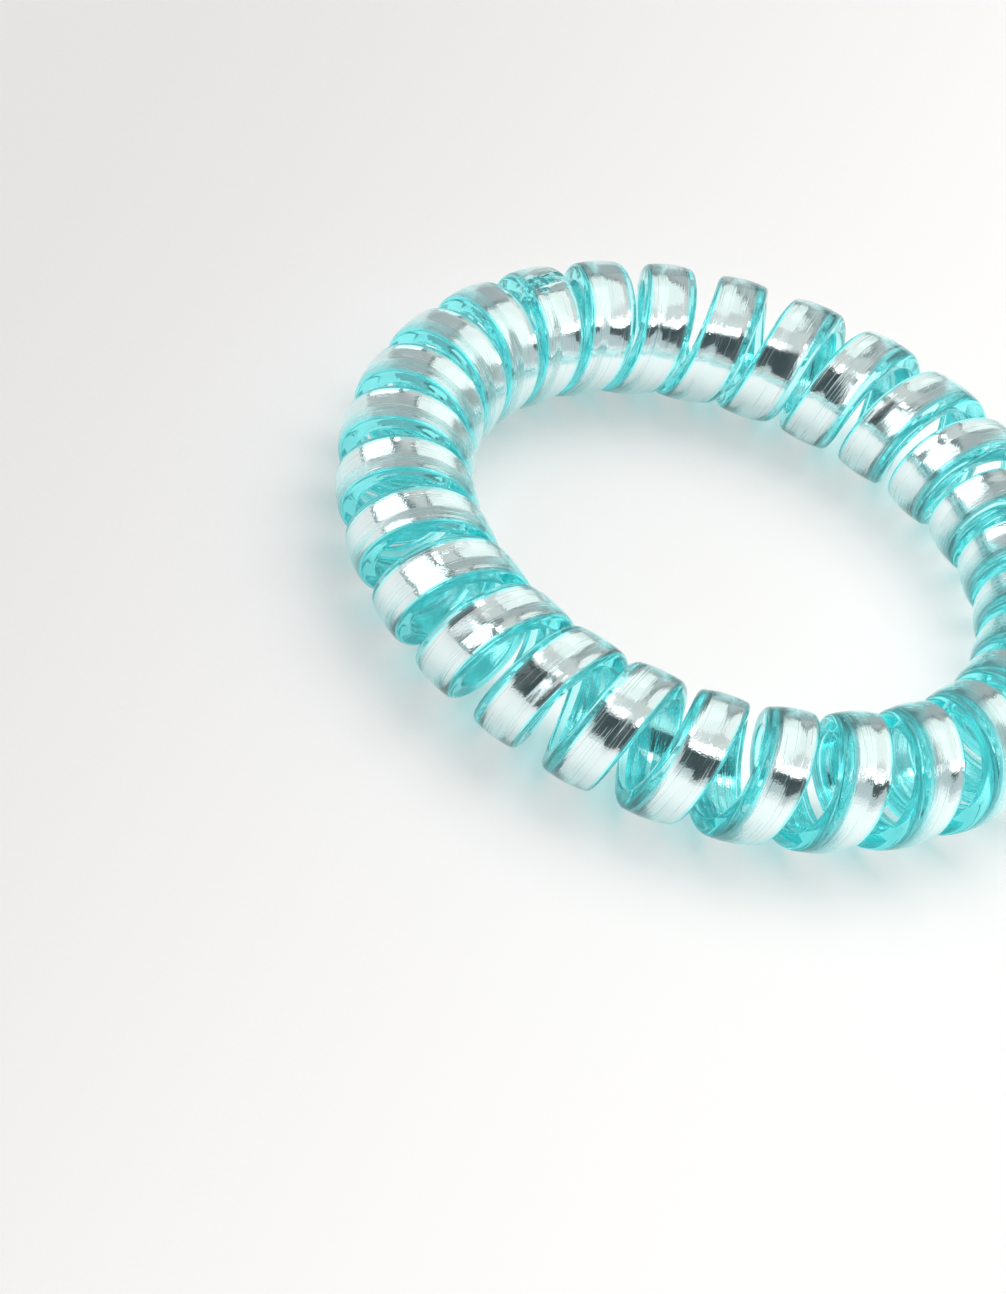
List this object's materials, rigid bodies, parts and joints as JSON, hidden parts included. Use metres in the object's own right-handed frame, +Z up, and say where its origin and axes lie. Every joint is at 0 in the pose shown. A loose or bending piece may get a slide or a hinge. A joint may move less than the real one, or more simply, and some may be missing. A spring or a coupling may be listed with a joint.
{
  "type": "spiral hair tie",
  "caption": "Spiral hair tie: a clear turquoise ribbon coiled like a telephone cord and welded into a ring, with a silver film strip in its outer face.",
  "frame": {"origin": "on the surface that it lies on, under the middle of the ring", "axes": "+Z up along the ring's axis; X and Y lie in the ring's plane, and -Y is the side nearest to the camera"},
  "size_m": [0.0552, 0.0552, 0.0096],
  "materials": {
    "clear_turquoise_tpu": "glossy, see-through turquoise",
    "silver_film": "mirror-like metallised film, slightly scratched"
  },
  "bodies": {
    "root": {"coil_band": "clear_turquoise_tpu", "foil_strip": "silver_film"}
  },
  "joints": []
}
